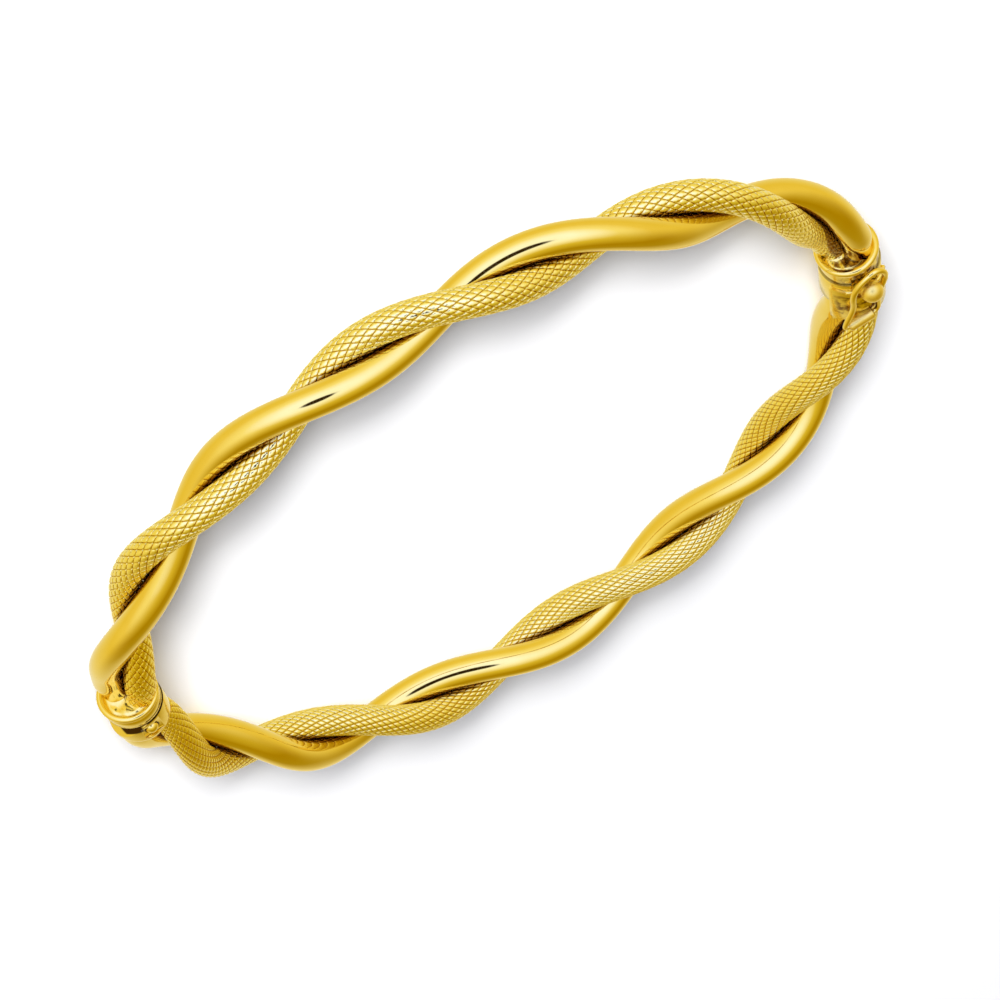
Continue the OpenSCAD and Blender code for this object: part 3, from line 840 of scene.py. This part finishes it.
def makeHingePin():
    piece = nodeCopy("hingePin", "hinge_pin")
    softenEdges(piece)
    finishFitting(piece, "hinge_pin")


# Thumb ball, a little fuller than the frame's
ball = dict(place=(31, -1, 3.05), radius=0.87, segments=64, rings=40, neckCut=2.45)


def makeThumbLeaf():
    piece = nodeCopy("thumbLeaf", "thumb_leaf")
    keepSide(piece, (0, 0, ball["neckCut"]), (0, 0, 1))
    softenEdges(piece)
    dress(piece, "fitting")
    bpy.ops.mesh.primitive_uv_sphere_add(segments=ball["segments"], ring_count=ball["rings"],
                                         radius=ball["radius"] * mm, location=Vector(ball["place"]) * mm)
    sphere = namePiece("thumbBall")
    applyPlace(sphere)
    dress(sphere, "ball")
    joinPieces(piece, [sphere])
    finishFitting(piece, "thumb_leaf", None)


# Box: the frame's own, with a bead along the saddle's edge and a fuller barrel
barrel = dict(place=(29.6533, -4.36506, 2.81154), length=1.96, radius=0.47, bore=0.33, lip=0.06)
bead = dict(fromMouth=0.84, radius=2.5, start=38, stop=128, points=40, thickness=0.17)


def onBox(fromMouth, radius, angle):
    lean = math.radians(clasp["lean"])
    around = math.radians(angle)
    return (end - fromMouth * math.sin(lean) + radius * math.cos(around) * math.cos(lean),
            clasp["mouth"] - fromMouth * math.cos(lean) - radius * math.cos(around) * math.sin(lean),
            radius * math.sin(around))


def sweptWire(name, path, thickness, sizes=None, closed=False):
    data = bpy.data.curves.new(name, "CURVE")
    data.dimensions = "3D"
    data.bevel_depth = thickness * mm
    data.bevel_resolution = 6
    data.use_fill_caps = not closed
    line = data.splines.new("POLY")
    line.points.add(len(path) - 1)
    line.use_cyclic_u = closed
    for number, (point, place) in enumerate(zip(line.points, path)):
        point.co = (place[0] * mm, place[1] * mm, place[2] * mm, 1)
        point.radius = sizes[number] if sizes else 1
    piece = bpy.data.objects.new(name, data)
    bpy.context.scene.collection.objects.link(piece)
    makeActive(piece)
    bpy.ops.object.convert(target="MESH")
    piece = namePiece(name)
    editMesh(piece)
    bpy.ops.mesh.remove_doubles(threshold=tiny["merge"] * mm)
    bpy.ops.mesh.normals_make_consistent(inside=False)
    backToObject()
    return piece


def makeClaspBox():
    piece = nodeCopy("claspBox", "clasp_box")
    softenEdges(piece)
    steps = np.linspace(bead["start"], bead["stop"], bead["points"])
    edge = sweptWire("saddleBead", [onBox(bead["fromMouth"], bead["radius"], angle) for angle in steps],
                     bead["thickness"])
    half, lip = barrel["length"] / 2, barrel["lip"]
    corner = barrel["radius"] - lip
    outline = [(barrel["bore"], -half)] + arcPoints((corner, lip - half), lip, -90, 0, 3)
    outline += arcPoints((corner, half - lip), lip, 0, 90, 3) + [(barrel["bore"], half)]
    sleeve = turnedPiece("barrelSleeve", 0, outline, 48)
    dress(sleeve, "ball")
    sleeve.rotation_euler = (0, 0, math.radians(90))
    sleeve.location = Vector(barrel["place"]) * mm
    applyPlace(sleeve)
    dress(piece, "claspBox")
    dress(edge, "claspBox")
    joinPieces(piece, [edge, sleeve])
    finishFitting(piece, "clasp_box", None)


def makeClaspTongue():
    piece = nodeCopy("claspTongue", "clasp_tongue")
    softenEdges(piece)
    finishFitting(piece, "clasp_tongue")


# Safety wire: an axle in the barrel and a waisted loop over the ball
wire = dict(radius=0.2, loopRadius=0.25, axleHalf=1.14, bend=0.3, loopAt=3.78, loopHalf=1.42, waistHalf=1.12,
            lean=0.37, pull=0.14, pullAt=4, pullFrom=1.2, axlePoints=(0.3, 0.6), axleShare=0.98, growOver=2.5,
            legPoints=19)


def pullAside(x, y):
    # the loop's right side is bent in, more so towards its end
    across = math.sin(min(x, wire["pullFrom"]) / wire["pullFrom"] * math.pi / 2)
    return wire["pull"] * (y / wire["pullAt"]) ** 2 * (x > 0) * across


def wirePath():
    side = [(x, 0) for x in wire["axlePoints"]] + [(wire["axleHalf"] - wire["radius"], 0)]
    side += [(wire["axleHalf"] + x, wire["bend"] + y) for x, y in arcPoints((0, 0), wire["bend"], -90, 0, 6)]
    for share in np.linspace(0, 1, wire["legPoints"])[1:]:
        wide = wire["axleHalf"] + wire["bend"]
        wide += (wire["loopHalf"] - wide) * share
        pinch = (wide - wire["waistHalf"]) * (1 - math.cos(2 * math.pi * share)) / 2
        side.append((wide - pinch, wire["bend"] + (wire["loopAt"] - wire["bend"]) * share))
    side += arcPoints((0, wire["loopAt"]), wire["loopHalf"], 0, 90, 12)[1:]
    flat = side + [(-x, y) for x, y in side[-2::-1]]
    return [(x - pullAside(x, y), y) for x, y in flat]


def makeSafetyWire():
    flat = wirePath()
    grow = wire["loopRadius"] / wire["radius"] - 1
    sizes = [wire["axleShare"] + grow * min(y / wire["growOver"], 1) for x, y in flat]
    left, low, height = barrel["place"]
    path = [(left + x + wire["lean"] * y, low + y, height) for x, y in flat]
    piece = sweptWire("safetyWire", path, wire["radius"], sizes, True)
    finishFitting(piece, "safety_wire")


makeHingeCup()
makeHingeCap()
makeHingePin()
makeClaspCup()
makeClaspTongue()
makeThumbLeaf()
makeClaspBox()
makeSafetyWire()
print("fittings made")


# Floor, lights and surroundings
floor = dict(size=3, drop=0.02, colour=(0.86, 0.86, 0.86, 1), grain=8, roughness=(0.5, 0.55))
lamps = [
    dict(name="lowPanel", place=(-60, 1440, 430), size=(600, 320), power=46, colour=(1, 1, 1)),
    dict(name="frontPanel", place=(-150, 1100, 500), size=(600, 300), power=21, colour=(1, 1, 1)),
]
# what the gold mirrors, by nearness to the camera's direction from behind to in front
studio = dict(
    ambient=(0.28, 0.28, 0.28, 1),
    below=[(0.0, (0.92, 0.87, 0.72, 1)), (0.42, (0.88, 0.72, 0.22, 1)), (0.6, (0.92, 0.77, 0.31, 1)),
           (0.8, (1.05, 1.02, 0.95, 1)), (0.95, (1.16, 1.32, 3.1, 1))],
    above=[(0.0, (0.88, 0.8, 0.6, 1)), (0.3, (0.46, 0.33, 0.02, 1)), (0.5, (0.44, 0.29, 0.0, 1)),
           (0.8, (0.76, 0.62, 0.1, 1)), (0.96, (1.08, 1.15, 1.6, 1))],
    darkest=(-0.04, -0.46, 0.89), darkFrom=0.0, darkTo=0.95,
    lens=(0.03, 0.018, 0, 1), lensPlace=(-0.07, 0.835, 0.555), lensEdge=0.974, lensCore=0.986)


def layFloor():
    bpy.ops.mesh.primitive_plane_add(size=floor["size"])
    piece = namePiece("floor")
    piece.location.z = cadBox[0][2] - floor["drop"] * mm
    applyPlace(piece)
    recipe = newMaterial("floorPaper")
    shade = recipe.uneven(recipe.noise(floor["grain"]), *floor["roughness"])
    paper = recipe.node("ShaderNodeBsdfPrincipled", None, {
        "Base Color": floor["colour"], "Roughness": shade, "Specular IOR Level": 0.0})
    recipe.node("ShaderNodeOutputMaterial", None, {"Surface": paper})
    piece.data.materials.append(recipe.owner)
    piece.visible_glossy = False


def hangLamps():
    for lamp in lamps:
        data = bpy.data.lights.new(lamp["name"], "AREA")
        data.shape = "RECTANGLE"
        data.size = lamp["size"][0] * mm
        data.size_y = lamp["size"][1] * mm
        data.energy = lamp["power"]
        data.color = lamp["colour"]
        light = bpy.data.objects.new(lamp["name"], data)
        light.location = Vector(lamp["place"]) * mm
        light.rotation_euler = (-light.location).to_track_quat("-Z", "Y").to_euler()
        light.visible_glossy = False
        bpy.context.scene.collection.objects.link(light)


def paintSurroundings():
    # what the gold mirrors; the floor gets plain light
    world = bpy.data.worlds.new("studio")
    bpy.context.scene.world = world
    recipe = Recipe(world)
    direction = recipe.node("ShaderNodeTexCoord", None, None, "Generated")

    def nearness(aim):
        aim = tuple(Vector(aim).normalized())
        return recipe.node("ShaderNodeVectorMath", {"operation": "DOT_PRODUCT"}, {
            0: direction, 1: aim}, "Value")

    front = nearness(view["place"]) * 0.5 + 0.5
    below = recipe.node("ShaderNodeValToRGB", {"stops": studio["below"]}, {0: front})
    above = recipe.node("ShaderNodeValToRGB", {"stops": studio["above"]}, {0: front})
    upward = recipe.node("ShaderNodeMapRange", {"interpolation_type": "SMOOTHSTEP"}, {
        0: nearness(studio["darkest"]), 1: studio["darkFrom"], 2: studio["darkTo"], 3: 0, 4: 1})
    seen = recipe.blend(upward, below, above)
    lens = recipe.spread(nearness(studio["lensPlace"]), studio["lensEdge"], studio["lensCore"], 0, 1)
    seen = recipe.blend(lens, seen, studio["lens"])
    diffuse = recipe.node("ShaderNodeLightPath", None, None, "Is Diffuse Ray")
    colour = recipe.blend(diffuse, seen, studio["ambient"])
    background = recipe.node("ShaderNodeBackground", None, {"Color": colour, "Strength": 1.0})
    recipe.node("ShaderNodeOutputWorld", None, {"Surface": background})


layFloor()
hangLamps()
paintSurroundings()
bpy.context.scene.view_settings.view_transform = "Standard"
print("studio lit")
